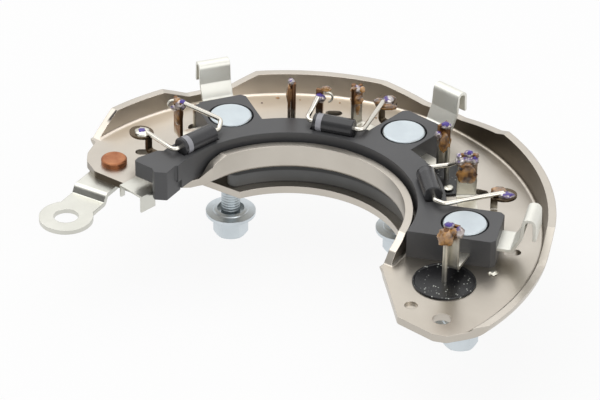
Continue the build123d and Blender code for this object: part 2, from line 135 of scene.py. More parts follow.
def coordinates(tree):
    """The place on the part, its three axes, and the way the face looks."""
    where = add(tree, "ShaderNodeTexCoord")
    split = add(tree, "ShaderNodeSeparateXYZ")
    join(tree, where.outputs["Object"], split.inputs["Vector"])
    return where.outputs["Object"], split.outputs, where.outputs["Normal"]


def cloud(tree, place, scale, detail):
    """Smooth noise over the part."""
    node = add(tree, "ShaderNodeTexNoise", Scale=scale, Detail=detail)
    join(tree, place, node.inputs["Vector"])
    return node.outputs["Fac"]


def blend(tree, factor, first, second, mode="MIX"):
    """Two colours mixed by a factor. Each is a socket or three numbers."""
    mix = add(tree, "ShaderNodeMix")
    mix.data_type = "RGBA"
    mix.blend_type = mode
    for label, value in (("A", first), ("B", second)):
        fill(tree, mix.inputs[label], (*value, 1) if isinstance(value, tuple) else value)
    join(tree, factor, mix.inputs["Factor"])
    return mix.outputs["Result"]


def tint(tree, shader, factor, colour, mode="MIX"):
    """Lays a colour over what the shader's base colour is so far."""
    base = shader.inputs["Base Color"]
    plain = base.links[0].from_socket
    join(tree, blend(tree, factor, plain, colour, mode), base)


def relief(tree, height, strength, distance, normal=None):
    """A bump from a height, over another normal if one is given."""
    node = add(tree, "ShaderNodeBump", Strength=strength, Distance=distance)
    join(tree, height, node.inputs["Height"])
    if normal is not None:
        join(tree, normal, node.inputs["Normal"])
    return node.outputs["Normal"]


def soft_edge(tree, radius_mm):
    """A normal that rounds off the sharp edges of a solid."""
    edge = add(tree, "ShaderNodeBevel", Radius=radius_mm * MM)
    edge.samples = 4
    return edge.outputs["Normal"]


def principled(name):
    """A new material, its tree and its shader."""
    material = bpy.data.materials.new(name)
    material.use_nodes = True
    tree = material.node_tree
    return material, tree, tree.nodes["Principled BSDF"]


print("helpers ready")

# %% [markdown]
# ## Wear and handling, as one shared group
# Plated sheet is never even: the plating varies softly in tone, fingers leave
# smudges that are a little rougher, and fine scratches run in one direction.
# A group holds all three, so each metal can ask for its own amount.

# %% Metal surface group
FLOAT, COLOUR = "NodeSocketFloat", "NodeSocketColor"
SURFACE_INPUTS = [
    ("Light tone", COLOUR, (0.8, 0.8, 0.8, 1)),
    ("Dark tone", COLOUR, (0.5, 0.5, 0.5, 1)),
    ("Roughness", FLOAT, 0.3),
    ("Smudge", FLOAT, 0.1),
    ("Scratch", FLOAT, 0.3),
    ("Patch scale", FLOAT, 60.0),
]
SURFACE_OUTPUTS = [("Color", COLOUR), ("Roughness", FLOAT), ("Height", FLOAT)]
SCRATCH_TURN = 0.6
SCRATCH_STRETCH = (180.0, 5200.0, 2600.0)


def metal_surface_group():
    """Tone, roughness and scratch height of a plated surface."""
    group = bpy.data.node_groups.new("metal_surface", "ShaderNodeTree")
    for label, kind, value in SURFACE_INPUTS:
        socket = group.interface.new_socket(label, in_out="INPUT", socket_type=kind)
        socket.default_value = value
    for label, kind in SURFACE_OUTPUTS:
        group.interface.new_socket(label, in_out="OUTPUT", socket_type=kind)
    start, end = group.nodes.new("NodeGroupInput"), group.nodes.new("NodeGroupOutput")
    asked = start.outputs
    place = add(group, "ShaderNodeTexCoord").outputs["Object"]

    patch = add(group, "ShaderNodeTexNoise", Detail=4.0, Roughness=0.55)
    join(group, place, patch.inputs["Vector"])
    join(group, asked["Patch scale"], patch.inputs["Scale"])
    spread = linear(group, patch.outputs["Fac"], 0.3, 0.7)
    tone = blend(group, spread, asked["Dark tone"], asked["Light tone"])
    join(group, tone, end.inputs["Color"])

    smudge = product(group, cloud(group, place, 240.0, 3.0), asked["Smudge"])
    join(group, math_node(group, "ADD", smudge, asked["Roughness"]), end.inputs["Roughness"])

    stretch = add(group, "ShaderNodeMapping")
    stretch.inputs["Rotation"].default_value = (0.0, 0.0, SCRATCH_TURN)
    stretch.inputs["Scale"].default_value = SCRATCH_STRETCH
    join(group, place, stretch.inputs["Vector"])
    scratch = cloud(group, stretch.outputs["Vector"], 1.0, 2.0)
    join(group, product(group, scratch, asked["Scratch"]), end.inputs["Height"])
    return group


METAL_SURFACE = metal_surface_group()
print("group sockets:", len(METAL_SURFACE.interface.items_tree))

# %% [markdown]
# ## Plated metals
# Nickel over steel sheet looks warm and pinkish, zinc looks cold and blue, and tin
# sits between them. The same recipe serves all of them with other tones.

# %% Metal materials
METAL_EDGE_MM = 0.22
SCRATCH_DEPTH = 0.00005
SMUDGE_AMOUNT, SCRATCH_AMOUNT = 0.12, 0.3


def plated(name, light, dark, roughness, patch=60.0, bump=0.2):
    """A plated metal with soft tone changes, smudges and fine scratches."""
    material, tree, shader = principled(name)
    surface = add(tree, "ShaderNodeGroup")
    surface.node_tree = METAL_SURFACE
    asked = {
        "Light tone": (*light, 1),
        "Dark tone": (*dark, 1),
        "Roughness": roughness,
        "Smudge": SMUDGE_AMOUNT,
        "Scratch": SCRATCH_AMOUNT,
        "Patch scale": patch,
    }
    for label, value in asked.items():
        surface.inputs[label].default_value = value
    edge = soft_edge(tree, METAL_EDGE_MM)
    scratched = relief(tree, surface.outputs["Height"], bump, SCRATCH_DEPTH, edge)
    join(tree, scratched, shader.inputs["Normal"])
    join(tree, surface.outputs["Color"], shader.inputs["Base Color"])
    join(tree, surface.outputs["Roughness"], shader.inputs["Roughness"])
    shader.inputs["Metallic"].default_value = 1.0
    return material


NICKEL = ((0.57, 0.53, 0.47), (0.49, 0.45, 0.395), 0.27)
ZINC = ((0.64, 0.69, 0.72), (0.56, 0.61, 0.64), 0.30)
TIN = ((0.67, 0.665, 0.61), (0.60, 0.595, 0.54), 0.26)
WIRE_TIN = ((0.78, 0.76, 0.68), (0.62, 0.60, 0.52), 0.28)
SATIN_TIN = ((0.81, 0.805, 0.745), (0.74, 0.735, 0.675), 0.41)
COPPER = ((0.46, 0.205, 0.10), (0.31, 0.115, 0.055), 0.30)
SATIN_METALLIC = 0.75

nickel = plated("nickel_plate", *NICKEL, patch=45.0)
zinc = plated("zinc_plate", *ZINC, patch=160.0)
tin = plated("tin_plate", *TIN, patch=120.0)
wire_tin = plated("tinned_wire", *WIRE_TIN, patch=300.0)
satin_tin = plated("satin_tin", *SATIN_TIN, patch=120.0)
satin_shader = satin_tin.node_tree.nodes["Principled BSDF"]
satin_shader.inputs["Metallic"].default_value = SATIN_METALLIC
copper = plated("copper", *COPPER, patch=420.0, bump=0.6)
print("metals:", [item.name for item in (nickel, zinc, tin, wire_tin, satin_tin, copper)])

# %% [markdown]
# ## Painted shade on the tray
# The photograph's studio is darker than this one on some sides, so parts of the tray
# look darker there than plain nickel does here. That shade is painted: masks find
# each place by where it lies on the part and which way it faces. It isn't a
# reflection, so it stays when the light or the view changes. For plain nickel, the
# tray can wear the nickel above instead.

# %% Tray finish
WALL_R = 63.2 * MM
# Painted light: the inward faces of the outer wall are painted a pale warm tone.
WALL_PAINTED_LIGHT = (0.99, 0.88, 0.75)
WALL_SHADE = (0.147, 0.139, 0.125)
CUT_END_SHADE = (0.05, 0.045, 0.04)
FRONT_FLOOR_SHADE = (0.88, 0.87, 0.855)
LUG_EDGE_SHADE = (0.13, 0.105, 0.08)
SLOT_SHADE = (0.15, 0.13, 0.105)
SLOT_PLACE = (-36.8 * MM, 34.5 * MM, 8.0 * MM)
# The way that the two cut edges at the lug's end of the tray look.
LUG_SIDE = (-0.64, -0.77, 0.0)


def tray_nickel():
    """Nickel with painted light and shade."""
    material = plated("tray_nickel", *NICKEL, patch=45.0)
    tree = material.node_tree
    shader = tree.nodes["Principled BSDF"]
    place, axis, normal = coordinates(tree)
    x, y, z = axis["X"], axis["Y"], axis["Z"]
    flat = vector_node(tree, "MULTIPLY", place, (1, 1, 0)).outputs["Vector"]
    reach = vector_node(tree, "LENGTH", flat).outputs["Value"]
    facing = vector_node(tree, "DOT_PRODUCT", flat, normal).outputs["Value"]
    lugward = vector_node(tree, "DOT_PRODUCT", normal, LUG_SIDE).outputs["Value"]
    look = add(tree, "ShaderNodeSeparateXYZ")
    join(tree, normal, look.inputs["Vector"])
    upward = look.outputs["Z"]

    outside = ramp(tree, reach, WALL_R - 1.5 * MM, WALL_R + 0.5 * MM)
    inward = ramp(tree, facing, -0.2 * WALL_R, -0.7 * WALL_R)
    wall = product(tree, outside, inward)
    # Painted light on the inward faces of the outer wall.
    tint(tree, shader, wall, WALL_PAINTED_LIGHT)
    # Painted shade on the right part of the outer wall.
    rightward = ramp(tree, x, 12 * MM, 52 * MM)
    tint(tree, shader, product(tree, wall, rightward), WALL_SHADE, "MULTIPLY")

    # Painted shade on the cut end of the wall near the lug.
    cut_end = product(
        tree,
        ramp(tree, lugward, 0.25, 0.35),
        ramp(tree, z, 11.8 * MM, 12.6 * MM),
        outside,
        ramp(tree, reach, WALL_R + 1.4 * MM, WALL_R + 1.8 * MM, 1.0, 0.0),
        ramp(tree, x, -44 * MM, -43 * MM, 1.0, 0.0),
    )
    tint(tree, shader, cut_end, CUT_END_SHADE)

    # Painted shade on the front part of the floor.
    front_floor = product(
        tree,
        ramp(tree, upward, 0.6, 0.9),
        ramp(tree, z, 9.3 * MM, 9.8 * MM, 1.0, 0.0),
        ramp(tree, y, -8 * MM, -18 * MM),
    )
    tint(tree, shader, front_floor, FRONT_FLOOR_SHADE, "MULTIPLY")

    # Painted shade on the tray's cut edge above the lug.
    lug_edge = product(
        tree,
        ramp(tree, lugward, 0.85, 0.95),
        ramp(tree, z, 9.2 * MM, 8.9 * MM),
        ramp(tree, x, -36 * MM, -40 * MM),
        ramp(tree, y, 33 * MM, 30 * MM),
    )
    tint(tree, shader, lug_edge, LUG_EDGE_SHADE)

    # Painted shade on the far wall of the slot.
    gap = vector_node(tree, "DISTANCE", place, SLOT_PLACE).outputs["Value"]
    near_slot = ramp(tree, gap, 5.0 * MM, 4.5 * MM)
    slot_wall = product(tree, near_slot, ramp(tree, upward, 0.5, 0.2))
    tint(tree, shader, slot_wall, SLOT_SHADE)
    return material


painted_nickel = tray_nickel()
print("tray nodes:", len(painted_nickel.node_tree.nodes))

# %% [markdown]
# ## Threads on the studs
# A thread is finer than the solids need. Below the sheets the shader turns height
# into a steady ripple, one turn in every 0.8 mm, and paints shade into the bottom of it.

# %% Threaded zinc
THREAD_PITCH = 0.8 * MM
THREAD_TOP = -0.5 * MM
THREAD_ZINC = ((0.58, 0.635, 0.66), (0.51, 0.56, 0.59), 0.30)
THREAD_SHADE = (0.20, 0.23, 0.25)


def threaded(name):
    """Zinc whose normal follows the thread, with painted shade in its grooves."""
    material = plated(name, *THREAD_ZINC, patch=160.0)
    tree = material.node_tree
    shader = tree.nodes["Principled BSDF"]
    z = coordinates(tree)[1]["Z"]
    turns = math_node(tree, "MULTIPLY", z, 2 * math.pi / THREAD_PITCH)
    wave = math_node(tree, "SINE", turns)
    ripple = product(tree, wave, math_node(tree, "LESS_THAN", z, THREAD_TOP))
    smooth = shader.inputs["Normal"].links[0].from_socket
    join(tree, relief(tree, ripple, 0.45, 0.00008, smooth), shader.inputs["Normal"])
    # Painted shade in the thread's grooves.
    tint(tree, shader, linear(tree, ripple, -0.2, -1.0, 0.0, 0.35), THREAD_SHADE)
    return material


threaded_zinc = threaded("zinc_thread")
print("thread turns per stud:", round(12 * MM / THREAD_PITCH))

# %% [markdown]
# ## Black mouldings and resin
# The carrier is a filled plastic: nearly black, matt, with a faint grain. The
# potting resin is glossier and has a gritty skin with pale specks in it. The
# spacer's top and bottom bands are painted shade, as the photograph shows them.

# %% Mouldings and resin
MOULDING_EDGE_MM = 0.3
RESIN_BLACK, RESIN_SPECK = (0.006, 0.006, 0.007), (0.50, 0.52, 0.48)
SPACER_BAND_SHADE = (0.012, 0.012, 0.012)
BAND_BLUR = 0.2 * MM


def moulding(name, tone, roughness, grain_scale, grain_depth):
    """A matt moulded plastic with fine grain."""
    material, tree, shader = principled(name)
    place = coordinates(tree)[0]
    grain = cloud(tree, place, grain_scale, 4.0)
    edge = soft_edge(tree, MOULDING_EDGE_MM)
    join(tree, relief(tree, grain, 0.25, grain_depth, edge), shader.inputs["Normal"])
    darker = tuple(value * 0.82 for value in tone)
    paler = tuple(value * 1.2 for value in tone)
    colour = blend(tree, cloud(tree, place, 90.0, 3.0), darker, paler)
    join(tree, colour, shader.inputs["Base Color"])
    shader.inputs["Roughness"].default_value = roughness
    return material


def paint_spacer_shade(material, low, high):
    """Painted shade above and below the spacer's middle band."""
    tree = material.node_tree
    z = coordinates(tree)[1]["Z"]
    top = ramp(tree, z, high - BAND_BLUR, high + BAND_BLUR)
    bottom = ramp(tree, z, low + BAND_BLUR, low - BAND_BLUR)
    bands = math_node(tree, "MAXIMUM", top, bottom)
    tint(tree, tree.nodes["Principled BSDF"], bands, SPACER_BAND_SHADE)


def resin_material():
    """Gritty black resin with pale specks."""
    material, tree, shader = principled("sealing_resin")
    place = coordinates(tree)[0]
    cells = add(tree, "ShaderNodeTexVoronoi", Scale=1150.0)
    join(tree, place, cells.inputs["Vector"])
    speck = linear(tree, cells.outputs["Distance"], 0.16, 0.24, 1.0, 0.0)
    some = linear(tree, cloud(tree, place, 700.0, 1.0), 0.47, 0.53)
    colour = blend(tree, product(tree, speck, some), RESIN_BLACK, RESIN_SPECK)
    join(tree, colour, shader.inputs["Base Color"])
    grit = cloud(tree, place, 1800.0, 5.0)
    join(tree, relief(tree, grit, 0.5, 0.00012), shader.inputs["Normal"])
    shader.inputs["Roughness"].default_value = 0.32
    return material


black_moulding = moulding("black_moulding", (0.061, 0.061, 0.063), 0.41, 2600.0, 0.00003)
spacer_moulding = moulding("spacer_moulding", (0.090, 0.091, 0.090), 0.36, 1800.0, 0.00003)
silicon = moulding("silicon", (0.16, 0.16, 0.18), 0.3, 900.0, 0.00001)
# Painted shade on the spacer's top and bottom bands.
paint_spacer_shade(spacer_moulding, 2.2 * MM, 5.5 * MM)
resin = resin_material()
print("mouldings:", black_moulding.name, spacer_moulding.name, silicon.name, resin.name)

# %% [markdown]
# ## Terminal strips
# Each strip is tinned, and its top is stained by soldering: amber flux runs down
# from the joint. The stain follows height, broken up by noise.

# %% Stained strips
STAIN_START = 17.0 * MM
STAIN_FULL = 21.5 * MM
LEAF_START, LEAF_FULL = 9.0 * MM, 13.0 * MM
# The stain reaches further down towards the left, as in the photograph.
STAIN_SLANT = -0.11
STAIN_WANDER = 7 * MM
STAIN_SHIFT = 0.5 * MM


def stained(name, light, dark, stain, start=STAIN_START, full=STAIN_FULL):
    """Tinned metal, stained towards the top."""
    material = plated(name, light, dark, 0.3, patch=260.0)
    tree = material.node_tree
    place, axis, _ = coordinates(tree)
    drift = math_node(tree, "MULTIPLY", axis["X"], STAIN_SLANT)
    height = math_node(tree, "ADD", axis["Z"], drift)
    wander = math_node(tree, "MULTIPLY", cloud(tree, place, 420.0, 4.0), STAIN_WANDER)
    total = math_node(tree, "ADD", height, wander)
    rise = ramp(tree, total, start + STAIN_SHIFT, full + STAIN_SHIFT)
    tint(tree, tree.nodes["Principled BSDF"], rise, stain)
    return material


terminal_finish = stained(
    "terminal_strip", (0.84, 0.82, 0.74), (0.66, 0.63, 0.55), (0.235, 0.125, 0.06)
)
lead_finish = stained(
    "lead_wire", (0.78, 0.76, 0.68), (0.62, 0.60, 0.52), (0.24, 0.13, 0.07)
)
leaf_finish = stained(
    "leaf_strip", (0.74, 0.70, 0.62), (0.50, 0.46, 0.38), (0.115, 0.085, 0.055),
    LEAF_START, LEAF_FULL,
)
print("stained:", terminal_finish.name, lead_finish.name, leaf_finish.name)

# %% [markdown]
# ## Axial diodes
# One solid holds the case and both leads. The shader tells them apart by distance
# from the diode's middle, so the case is black, one end has a pale band and the
# leads are tinned. The three case tones differ only to follow the photograph's
# light: the real diodes are surely alike.

# %% Diode cases
# Each diode: radius, angle, tone of the band, tone of the case.
DIODES = {
    # Painted shade: the first diode's band is darker than the others'.
    "axial_diode_1": (35.5, 9.5, 0.05, 0.028),
    "axial_diode_2": (35.5, 71.6, 0.30, 0.022),
    "axial_diode_3": (35.0, 133.2, 0.30, 0.036),
}
CASE_HEIGHT = 17.9 * MM
CASE_HALF = 5.42 * MM
CASE_ROUND = 0.6 * MM
BAND_MIDDLE, BAND_HALF = 3.7 * MM, 0.75 * MM
LEAD_TONE = (0.70, 0.67, 0.60)


def diode_material(name, radius, angle, band_tone, case_tone):
    """Black case, pale band at one end, tinned leads."""
    material, tree, shader = principled(name + "_finish")
    turn = math.radians(angle)
    middle = Vector((math.cos(turn), math.sin(turn), 0)) * radius * MM
    middle.z = CASE_HEIGHT
    place = coordinates(tree)[0]
    shift = vector_node(tree, "SUBTRACT", place, middle).outputs["Vector"]
    axis = (-math.sin(turn), math.cos(turn), 0)
    along = vector_node(tree, "DOT_PRODUCT", shift, axis).outputs["Value"]
    far = vector_node(tree, "LENGTH", shift).outputs["Value"]
    length = math_node(tree, "ABSOLUTE", along)
    is_case = product(
        tree,
        math_node(tree, "LESS_THAN", length, CASE_HALF),
        math_node(tree, "LESS_THAN", far, CASE_HALF + CASE_ROUND),
    )
    in_band = add(tree, "ShaderNodeMath")
    in_band.operation = "COMPARE"
    join(tree, along, in_band.inputs[0])
    in_band.inputs[1].default_value = BAND_MIDDLE
    in_band.inputs[2].default_value = BAND_HALF
    case = (case_tone, case_tone, case_tone * 1.08)
    band = (band_tone, band_tone, band_tone * 1.08)
    body = blend(tree, in_band.outputs["Value"], case, band)
    join(tree, blend(tree, is_case, LEAD_TONE, body), shader.inputs["Base Color"])
    join(tree, math_node(tree, "SUBTRACT", 1.0, is_case), shader.inputs["Metallic"])
    sheen = linear(tree, cloud(tree, place, 1400.0, 3.0), 0.0, 1.0, 0.16, 0.32)
    join(tree, sheen, shader.inputs["Roughness"])
    return material


print("diodes:", len(DIODES))

# %% [markdown]
# ## Which solid wears which finish
# The solids keep their meshes. Only the material in each one's slots changes.

# %% Dress the solids


def finish_for(name):
    """The finish of a solid, from its name."""
    if name == "upper_heat_sink":
        return painted_nickel
    if name == "lower_heat_sink":
        return nickel
    if name in DIODES:
        return diode_material(name, *DIODES[name])
    if name == "insulating_spacer":
        return spacer_moulding
    if name.startswith(("terminal_carrier", "insulating")):
        return black_moulding
    if name.startswith("mounting_stud"):
        return threaded_zinc
    if name.startswith("flange_nut"):
        return zinc
    if name.startswith("stator_hook"):
        return satin_tin
    if name.startswith(("terminal_lug", "edge_clip")):
        return tin
    if name == "copper_rivet":
        return copper
    if "seal" in name:
        return resin
    if "chip" in name:
        return silicon
    if name.startswith(("upper_lead", "lower_lead")):
        return lead_finish
    if name.startswith("leaf_terminal"):
        return leaf_finish
    return terminal_finish


for name, solid in nodes.items():
    finish = finish_for(name)
    if solid.material_slots:
        for place in solid.material_slots:
            place.material = finish
    else:
        solid.data.materials.append(finish)
print("dressed", len(nodes), "solids")

# %% [markdown]
# ## Solder, flux and marks
# Solder is bright and lumpy, flux around it is amber and glassy, and the inspector
# leaves a touch of violet paint.

# %% Joint materials
VIOLET = (0.10, 0.055, 0.26)
FLUX_DARK, FLUX_PALE = (0.085, 0.045, 0.028), (0.50, 0.255, 0.08)


def solder_material():
    """Bright solder with violet paint in patches on its upper side."""
    light, dark = (0.70, 0.67, 0.66), (0.26, 0.20, 0.18)
    material = plated("solder", light, dark, 0.24, patch=700.0, bump=0.5)
    tree = material.node_tree
    shader = tree.nodes["Principled BSDF"]
    place, _, normal = coordinates(tree)
    look = add(tree, "ShaderNodeSeparateXYZ")
    join(tree, normal, look.inputs["Vector"])
    upward = linear(tree, look.outputs["Z"], -0.1, 0.7)
    patch = linear(tree, cloud(tree, place, 950.0, 2.0), 0.50, 0.56)
    painted = product(tree, upward, patch)
    tint(tree, shader, painted, VIOLET)
    join(tree, math_node(tree, "SUBTRACT", 1.0, painted), shader.inputs["Metallic"])
    return material


def flux_material():
    """Amber flux, darker and paler in patches."""
    material, tree, shader = principled("flux")
    place = coordinates(tree)[0]
    spread = linear(tree, cloud(tree, place, 520.0, 3.0), 0.35, 0.65)
    join(tree, blend(tree, spread, FLUX_DARK, FLUX_PALE), shader.inputs["Base Color"])
    shader.inputs["Roughness"].default_value = 0.16
    shader.inputs["Coat Weight"].default_value = 0.8
    grain = cloud(tree, place, 1500.0, 3.0)
    join(tree, relief(tree, grain, 0.6, 0.00015), shader.inputs["Normal"])
    return material


def paint_material():
    """A violet paint dot."""
    material, tree, shader = principled("violet_paint")
    shader.inputs["Base Color"].default_value = (0.085, 0.05, 0.30, 1)
    shader.inputs["Roughness"].default_value = 0.3
    return material


solder, flux, paint = solder_material(), flux_material(), paint_material()
print("joints wear:", solder.name, flux.name, paint.name)

# %% [markdown]
# ## Drops and curls
# Every joint is a frozen drop: a sphere pushed in and out by smooth noise, then
# squashed to its own radii. Two cut wire ends are bent into hooks.

# %% Drops and curls
SOLDER, FLUX, PAINT, WIRE = 0, 1, 2, 3


def drop(bm, centre, radii, slot, seed, lumps=0.28):
    """A lumpy drop. Centre and radii are in millimetres."""
    made = bmesh.ops.create_icosphere(bm, subdivisions=3, radius=1.0)
    shift = Vector((seed * 3.7, seed * 1.3, 0.5))
    for vert in made["verts"]:
        way = vert.co.normalized()
        push = 1 + lumps * noise.noise(way * 1.9 + shift)
        vert.co = Vector([(c + w * r * push) * MM for c, w, r in zip(centre, way, radii)])
    for face in {face for vert in made["verts"] for face in vert.link_faces}:
        face.material_index = slot
        face.smooth = True


def curl(bm, centre, radius, wire, start, sweep, turn):
    """A bent wire end: an arc in an upright plane that is turned about Z."""
    steps, sides = 20, 10
    spin = Matrix.Rotation(math.radians(turn), 3, "Z")
    rings = []
    for step in range(steps + 1):
        bend = math.radians(start + sweep * step / steps)
        ring = []
        for side in range(sides):
            around = 2 * math.pi * side / sides
            reach = radius + wire * math.cos(around)
            spot = Vector((reach * math.cos(bend), wire * math.sin(around), reach * math.sin(bend)))
            ring.append(bm.verts.new((spin @ spot + Vector(centre)) * MM))
        rings.append(ring)
    for first, second in zip(rings, rings[1:]):
        for side in range(sides):
            after = (side + 1) % sides
            face = bm.faces.new((first[side], first[after], second[after], second[side]))
            face.material_index = WIRE
            face.smooth = True
    for ring in (rings[0], rings[-1]):
        bm.faces.new(ring).material_index = WIRE


print("slots:", SOLDER, FLUX, PAINT, WIRE)

# %% [markdown]
# ## Where the joints sit
# Places and radii are read off the photograph, in millimetres.

# %% Joints
# Each joint: its drops as (centre, radii, material) and its bent wire ends.
JOINTS = {
    "joint_front": (
        [
            ((38.0, -24.4, 21.9), (2.0, 1.5, 2.5), FLUX),
            ((38.8, -23.8, 24.8), (1.3, 1.0, 0.9), SOLDER),
            ((38.7, -24.1, 25.2), (0.9, 0.7, 0.6), PAINT),
            ((41.3, -24.3, 23.2), (1.25, 0.9, 1.7), SOLDER),
            ((39.9, -24.5, 23.6), (0.9, 0.7, 1.0), FLUX),
        ],
        [],
    ),
    "joint_right": (
        [
            ((44.4, 8.8, 18.9), (2.5, 0.55, 2.7), FLUX),
            ((42.7, 9.1, 22.8), (1.3, 1.1, 1.2), SOLDER),
            ((44.7, 9.4, 24.6), (1.2, 1.0, 1.1), SOLDER),
            ((44.6, 9.1, 23.3), (2.3, 0.7, 0.9), SOLDER),
            ((44.9, 9.1, 25.2), (0.8, 0.6, 0.6), PAINT),
            ((46.2, 9.0, 23.9), (0.6, 0.6, 0.5), PAINT),
            ((43.2, 8.9, 20.9), (0.7, 0.4, 1.2), SOLDER),
            ((46.1, 9.2, 22.9), (1.2, 0.9, 1.3), SOLDER),
            ((44.2, 8.8, 21.6), (1.6, 0.7, 1.0), FLUX),
            ((42.3, 9.2, 24.2), (0.7, 0.8, 0.8), SOLDER),
            ((46.8, 9.3, 24.4), (0.6, 0.8, 0.6), FLUX),
        ],
        [],
    ),
    "joint_right_rear": (
        [
            ((39.2, 22.3, 20.4), (1.6, 1.2, 3.0), FLUX),
            ((39.5, 22.4, 25.0), (1.4, 1.1, 1.0), SOLDER),
            ((39.3, 22.1, 25.6), (1.0, 0.8, 0.6), PAINT),
            ((37.5, 22.0, 22.4), (0.9, 0.8, 1.2), SOLDER),
        ],
        [],
    ),
    "joint_rear_right": (
        [
            ((17.2, 43.6, 22.6), (1.2, 1.1, 1.3), SOLDER),
            ((16.2, 43.0, 23.0), (0.9, 0.8, 0.8), FLUX),
            ((18.4, 43.2, 22.9), (0.8, 0.8, 0.9), FLUX),
            ((17.1, 43.1, 19.9), (1.6, 1.1, 1.6), FLUX),
            ((17.0, 43.4, 17.0), (0.9, 0.8, 2.2), FLUX),
        ],
        [],
    ),
    "joint_rear": (
        [
            ((-0.1, 42.9, 25.2), (0.95, 0.9, 0.85), SOLDER),
            ((-0.1, 42.6, 25.5), (0.55, 0.5, 0.45), PAINT),
            ((-0.5, 42.6, 21.6), (0.75, 1.2, 2.8), FLUX),
        ],
        [],
    ),
    "joint_rear_middle": (
        [
            ((7.5, 40.9, 21.6), (1.5, 1.2, 1.3), SOLDER),
            ((7.3, 40.6, 22.3), (0.9, 0.8, 0.8), PAINT),
            ((9.1, 41.0, 24.3), (1.3, 0.7, 0.8), FLUX),
        ],
        [((9.2, 41.0, 21.8), 1.5, 0.3, -70, 175, 0)],
    ),
    "joint_left": (
        [
            ((-28.4, 35.2, 22.4), (1.6, 1.3, 1.5), SOLDER),
            ((-29.2, 35.6, 23.2), (1.2, 1.0, 1.0), FLUX),
            ((-28.0, 34.9, 23.4), (0.9, 0.7, 0.6), PAINT),
            ((-29.6, 35.4, 21.4), (1.3, 0.9, 1.0), SOLDER),
            ((-28.8, 35.3, 18.9), (1.15, 1.1, 2.9), FLUX),
        ],
        [((-30.4, 35.6, 22.4), 1.1, 0.36, 60, 215, 10)],
    ),
    "floor_marks": (
        [
            ((50.2, -20.6, 9.0), (1.25, 1.1, 0.55), WIRE),
            ((40.4, 17.3, 9.6), (1.2, 1.3, 0.4), WIRE),
            ((-3.6, 61.7, 9.0), (0.55, 0.5, 0.22), FLUX),
            ((-7.8, 59.0, 9.0), (0.30, 0.25, 0.18), FLUX),
            ((2.3, 60.8, 9.0), (0.22, 0.25, 0.15), FLUX),
            ((12.9, 59.5, 9.0), (0.30, 0.22, 0.15), FLUX),
            ((22.4, 52.1, 9.0), (0.35, 0.30, 0.18), FLUX),
        ],
        [],
    ),
    "joint_leaf_left": (
        [
            ((-38.0, 30.6, 16.8), (2.1, 2.2, 0.75), WIRE),
            ((-38.2, 30.5, 17.4), (0.95, 0.95, 0.35), PAINT),
            ((-38.8, 31.7, 16.6), (1.1, 1.0, 0.4), FLUX),
        ],
        [],
    ),
    "joint_leaf_rear": (
        [
            ((22.9, 47.4, 16.9), (1.5, 1.3, 0.7), FLUX),
            ((25.3, 45.8, 16.2), (2.4, 1.2, 0.8), FLUX),
            ((25.3, 47.8, 17.1), (1.5, 1.5, 1.0), SOLDER),
            ((26.3, 49.3, 16.8), (1.1, 1.0, 0.5), FLUX),
        ],
        [],
    ),
    "joint_leaf_right": (
        [
            ((52.3, 4.8, 16.8), (2.0, 1.6, 0.6), FLUX),
            ((54.2, 2.6, 16.9), (2.1, 1.3, 0.75), SOLDER),
            ((54.6, 2.2, 17.4), (1.2, 0.6, 0.3), PAINT),
        ],
        [],
    ),
}


def add_piece(name, bm, materials):
    """Turns a bmesh into an object that rides on the body."""
    mesh = bpy.data.meshes.new(name)
    bmesh.ops.recalc_face_normals(bm, faces=bm.faces)
    bm.to_mesh(mesh)
    bm.free()
    for material in materials:
        mesh.materials.append(material)
    piece = bpy.data.objects.new(name, mesh)
    bpy.context.collection.objects.link(piece)
    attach(piece, BODY)
    return piece


for name, (drops, curls) in JOINTS.items():
    bm = bmesh.new()
    for seed, (centre, radii, slot) in enumerate(drops):
        drop(bm, centre, radii, slot, seed + len(name))
    for parts in curls:
        curl(bm, *parts)
    piece = add_piece(name, bm, [solder, flux, paint, wire_tin])
    print(name, len(piece.data.polygons), "faces")

# %% [markdown]
# ## The rim of each potted diode
# Resin climbs a little where it meets the cup, so each pot has a thin raised rim.

# %% Resin rims
POTS = [(38.1, -24.7), (40.0, 22.2), (0.6, 42.9)]
POT_TOP = 9.25


def resin_rim(name, x, y):
    bm = bmesh.new()
    profile = [(7.82, -0.2), (7.82, 0.16), (7.62, 0.26), (7.36, 0.16), (7.2, -0.1)]
    loop = [bm.verts.new(((x + r) * MM, y * MM, (POT_TOP + z) * MM)) for r, z in profile]
    edges = [bm.edges.new(pair) for pair in zip(loop, loop[1:])]
    bmesh.ops.spin(
        bm, geom=loop + edges, cent=(x * MM, y * MM, 0), axis=(0, 0, 1),
        angle=2 * math.pi, steps=96, use_merge=True,
    )
    for face in bm.faces:
        face.smooth = True
    return add_piece(name, bm, [resin])


for number, (x, y) in enumerate(POTS, 1):
    resin_rim(f"resin_rim_{number}", x, y)
print("rims:", len(POTS))

# %% [markdown]
# ## Floor
# The floor gives off a little light towards the camera and into reflections, so the
# background is white and steady while the lamps stay low.

# %% Floor
FLOOR_Z = -19.65 * MM
FLOOR_WHITE = 0.90
FLOOR_HALF = 4.0


def clear_rays(tree, path, share):
    """One for reflected and clear rays, a share of one for the camera's."""
    seen = math_node(tree, "MULTIPLY", path.outputs["Is Camera Ray"], share)
    seen = math_node(tree, "ADD", seen, path.outputs["Is Glossy Ray"])
    clear = add(tree, "ShaderNodeMath")
    clear.operation = "ADD"
    clear.use_clamp = True
    join(tree, seen, clear.inputs[0])
    join(tree, path.outputs["Is Transmission Ray"], clear.inputs[1])
    return clear.outputs["Value"]


